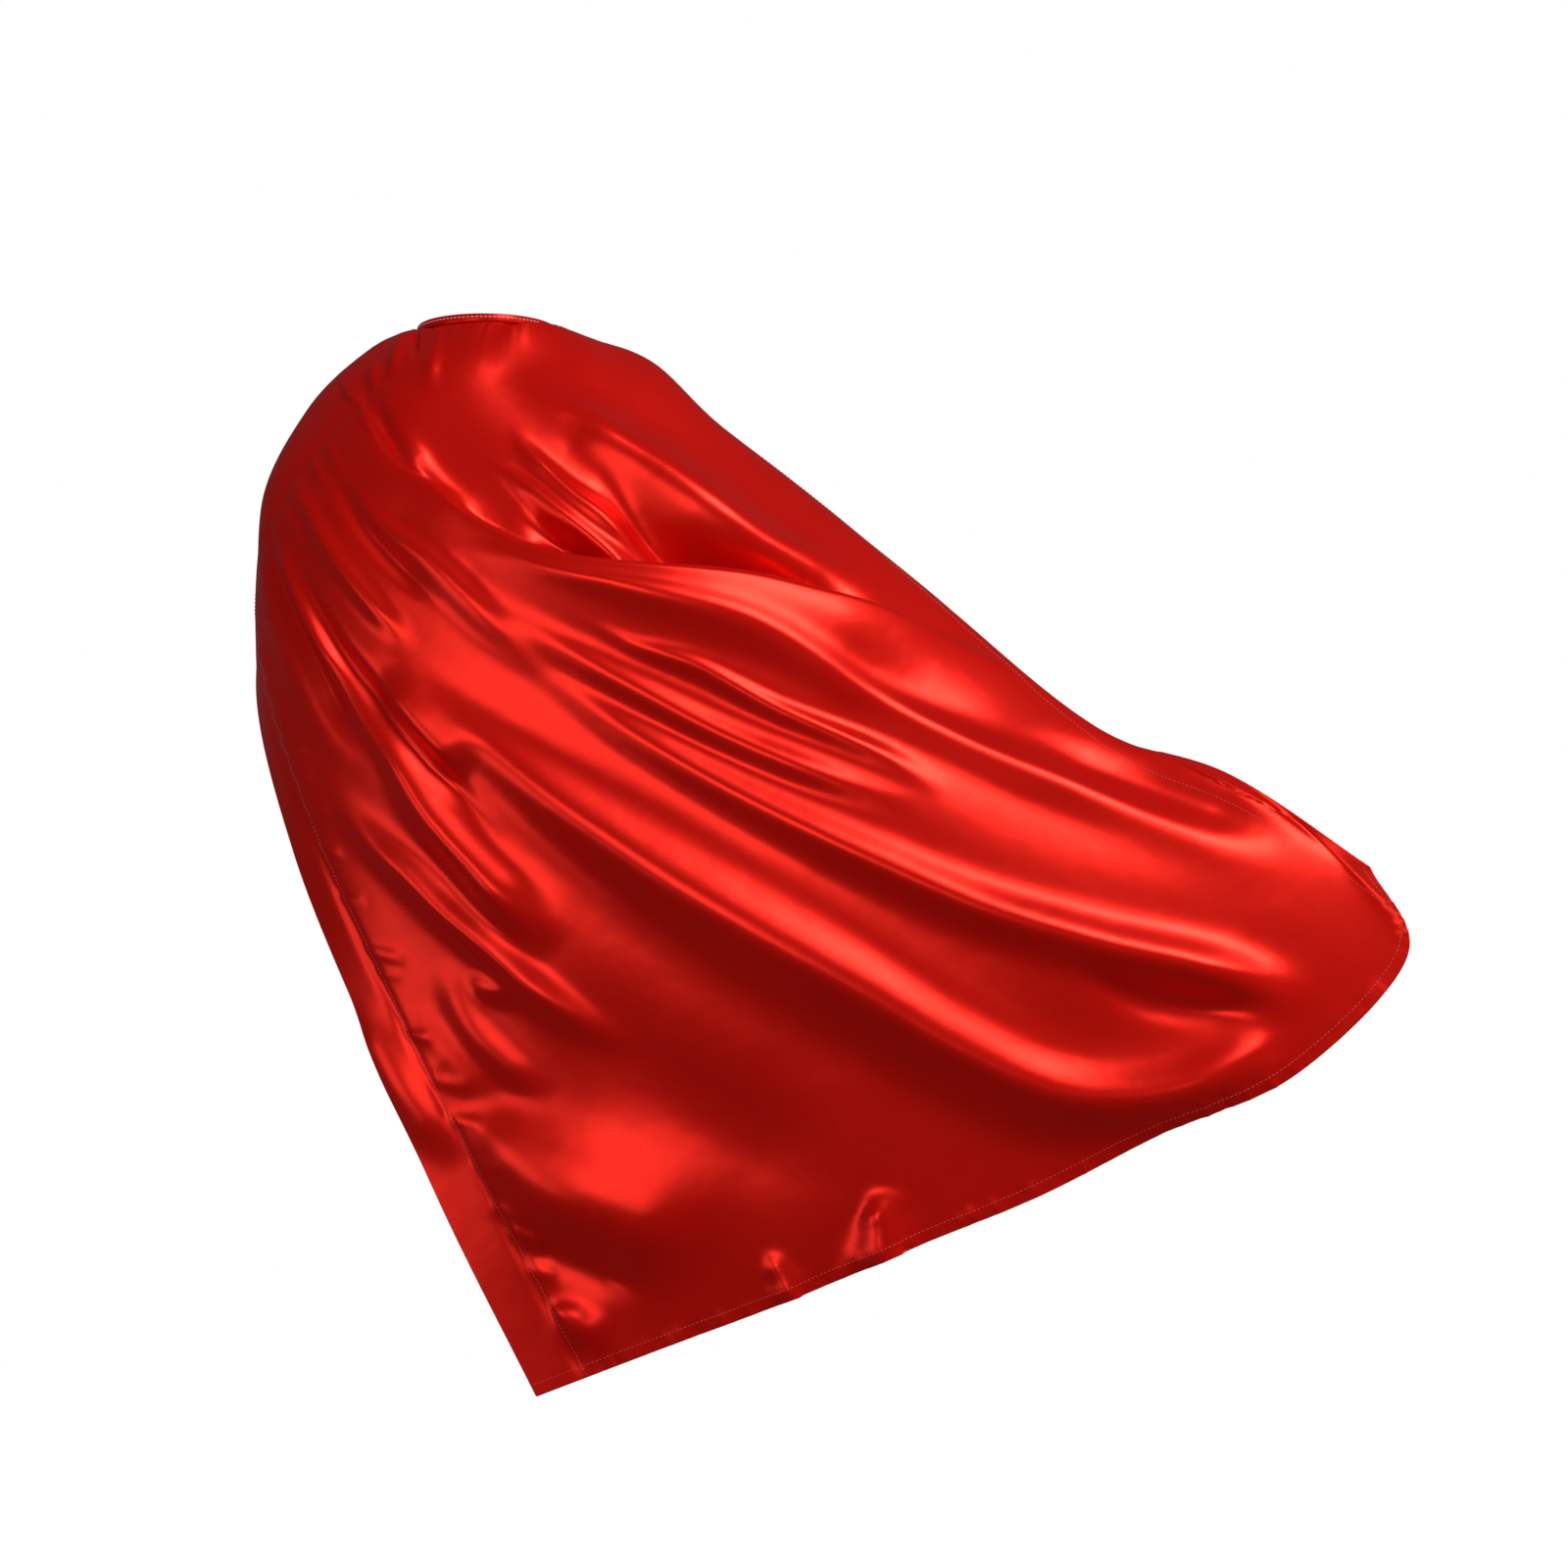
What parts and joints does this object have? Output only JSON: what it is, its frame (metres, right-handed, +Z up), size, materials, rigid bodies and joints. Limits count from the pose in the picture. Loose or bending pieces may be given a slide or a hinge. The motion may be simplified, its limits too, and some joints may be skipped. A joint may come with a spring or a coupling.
{
  "type": "costume cape",
  "caption": "Satin costume cape gathered into a narrow neck band that closes at the throat with a hook-and-loop tab, blown out behind the wearer.",
  "frame": {"origin": "centre of the closed neck band's top opening, where the wearer's neck passes", "axes": "+Z up, the wearer faces -Y, +X is the wearer's left; the neck band is tilted 7.5 degrees about X, higher at the nape"},
  "size_m": [1.0076, 0.3654, 0.9531],
  "materials": {
    "satin": "shiny red polyester satin, face side",
    "satin_inside": "duller back of the red satin",
    "thread": "light red polyester sewing thread",
    "tape": "dark red hook-and-loop tape",
    "interfacing": "white fusible interfacing",
    "label": "blank white woven label"
  },
  "bodies": {
    "shoulders": {"upper_panel": "satin", "left_facing_upper": "satin_inside", "right_facing_upper": "satin_inside", "left_facing_stitch_upper": "thread", "right_facing_stitch_upper": "thread", "neck_band_outer": "satin", "neck_band_inner": "satin_inside", "neck_band_interfacing": "interfacing", "neck_stitch": "thread", "loop_tape": "tape", "tab_base": "satin", "care_label": "label"},
    "closure_tab": {"closure_tab": "satin", "hook_tape": "tape"},
    "skirt": {"skirt_panel": "satin", "left_facing_lower": "satin_inside", "right_facing_lower": "satin_inside", "left_facing_stitch_lower": "thread", "right_facing_stitch_lower": "thread", "bottom_hem": "satin_inside", "hem_stitch": "thread"}
  },
  "joints": [
    {"name": "tab_peel", "type": "hinge", "parent": "shoulders", "child": "closure_tab", "pos_m": [0.00435, -0.0641, -0.00844], "axis": [0, -0.1305, 0.9914], "range_deg": [0, 120]},
    {"name": "skirt_swing", "type": "hinge", "parent": "shoulders", "child": "skirt", "pos_m": [-0.15, 0.2, -0.355], "axis": [0.9326, 0, -0.361], "range_deg": [0, 25]}
  ]
}
